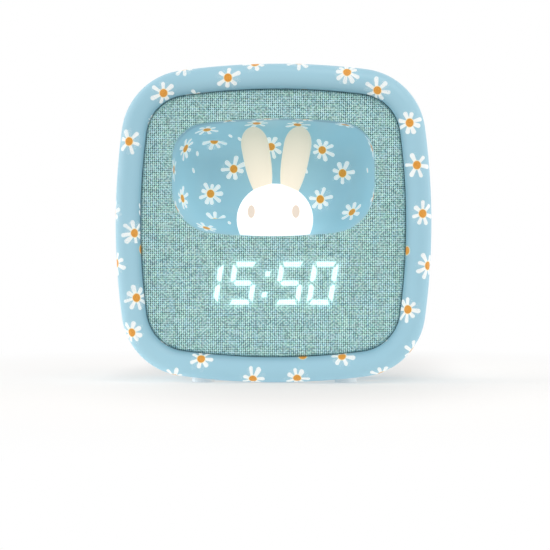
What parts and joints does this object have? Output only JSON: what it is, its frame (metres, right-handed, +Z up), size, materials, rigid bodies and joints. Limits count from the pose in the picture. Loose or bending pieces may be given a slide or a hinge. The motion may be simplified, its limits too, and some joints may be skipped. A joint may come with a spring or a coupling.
{
  "type": "alarm clock with night light",
  "caption": "Upright rounded-square bedside alarm clock: cloth front with a digit display, alcove with a glowing bunny lamp, keys and speaker grille at the back.",
  "frame": {"origin": "middle of the footprint, on the surface that the clock stands on", "axes": "+X to the clock's right as seen from the front, +Y towards the back, +Z up"},
  "size_m": [0.114, 0.055, 0.115],
  "materials": {
    "back_shell": "satin moulded ABS",
    "basket": "black painted steel",
    "board": "glass-fibre board, green solder mask",
    "bowl": "satin moulded ABS, printed with small daisies",
    "can": "stamped steel can",
    "carrier": "moulded ABS",
    "casing": "satin moulded ABS, printed with small daisies",
    "cell_wrap": "shrink-wrapped cell",
    "chips": "black epoxy package",
    "cloth": "coarse plain-woven polyester, mint, aqua and slate yarns",
    "eye_beige": "beige inlay",
    "film": "translucent film",
    "foam": "black foam",
    "foil": "copper foil",
    "header": "natural nylon header",
    "key_cap": "satin moulded key",
    "lamp_ivory": "translucent ivory silicone",
    "lamp_white": "translucent white silicone, glowing",
    "lead_wire": "insulated lead",
    "led_chip": "white LED package",
    "magnet": "ferrite",
    "pad_rubber": "grey silicone rubber",
    "paper_cone": "pressed paper",
    "plunger": "moulded plunger",
    "reflector": "white moulded plastic",
    "segment_clear": "clear resin, unlit",
    "segment_light": "clear resin, lit icy white",
    "steel": "zinc-plated steel",
    "switch": "black moulded switch"
  },
  "bodies": {
    "housing": {"front_casing": "casing", "rear_cover": "back_shell", "foot_pads": "pad_rubber", "front_baffle": "carrier", "fabric_cover": "cloth", "alcove_liner": "bowl", "bunny_head": "lamp_white", "bunny_ear_left": "lamp_ivory", "bunny_ear_right": "lamp_ivory", "bunny_eyes": "eye_beige", "lamp_board": "board", "lamp_leds": "led_chip", "display_reflector": "reflector", "segments_lit": "segment_light", "segments_unlit": "segment_clear", "diffuser_film": "film", "display_gasket": "foam", "display_board": "board", "display_leds": "led_chip", "main_board": "board", "microcontroller": "chips", "clock_crystal": "can", "board_connectors": "header", "usb_socket": "can", "key_switch_bodies": "switch", "speaker_frame": "basket", "speaker_cone": "paper_cone", "speaker_magnet": "magnet", "battery_cell": "cell_wrap", "cell_cradle": "carrier", "touch_electrode": "foil", "casing_screws": "steel", "display_screws": "steel", "liner_screws": "steel", "board_screws": "steel", "speaker_screws": "steel", "board_leads": "lead_wire"},
    "set_key": {"set_button": "key_cap", "set_plunger": "plunger"},
    "down_key": {"down_button": "key_cap", "down_plunger": "plunger"},
    "up_key": {"up_button": "key_cap", "up_plunger": "plunger"},
    "alarm_key": {"alarm_button": "key_cap", "alarm_plunger": "plunger"}
  },
  "joints": [
    {"name": "set_press", "type": "slide", "parent": "housing", "child": "set_key", "axis": [0, -1, 0], "range_m": [0, 0.0005], "stiffness_N_per_m": 2500},
    {"name": "down_press", "type": "slide", "parent": "housing", "child": "down_key", "axis": [0, -1, 0], "range_m": [0, 0.0005], "stiffness_N_per_m": 2500},
    {"name": "up_press", "type": "slide", "parent": "housing", "child": "up_key", "axis": [0, -1, 0], "range_m": [0, 0.0005], "stiffness_N_per_m": 2500},
    {"name": "alarm_press", "type": "slide", "parent": "housing", "child": "alarm_key", "axis": [0, -1, 0], "range_m": [0, 0.0005], "stiffness_N_per_m": 2500}
  ]
}
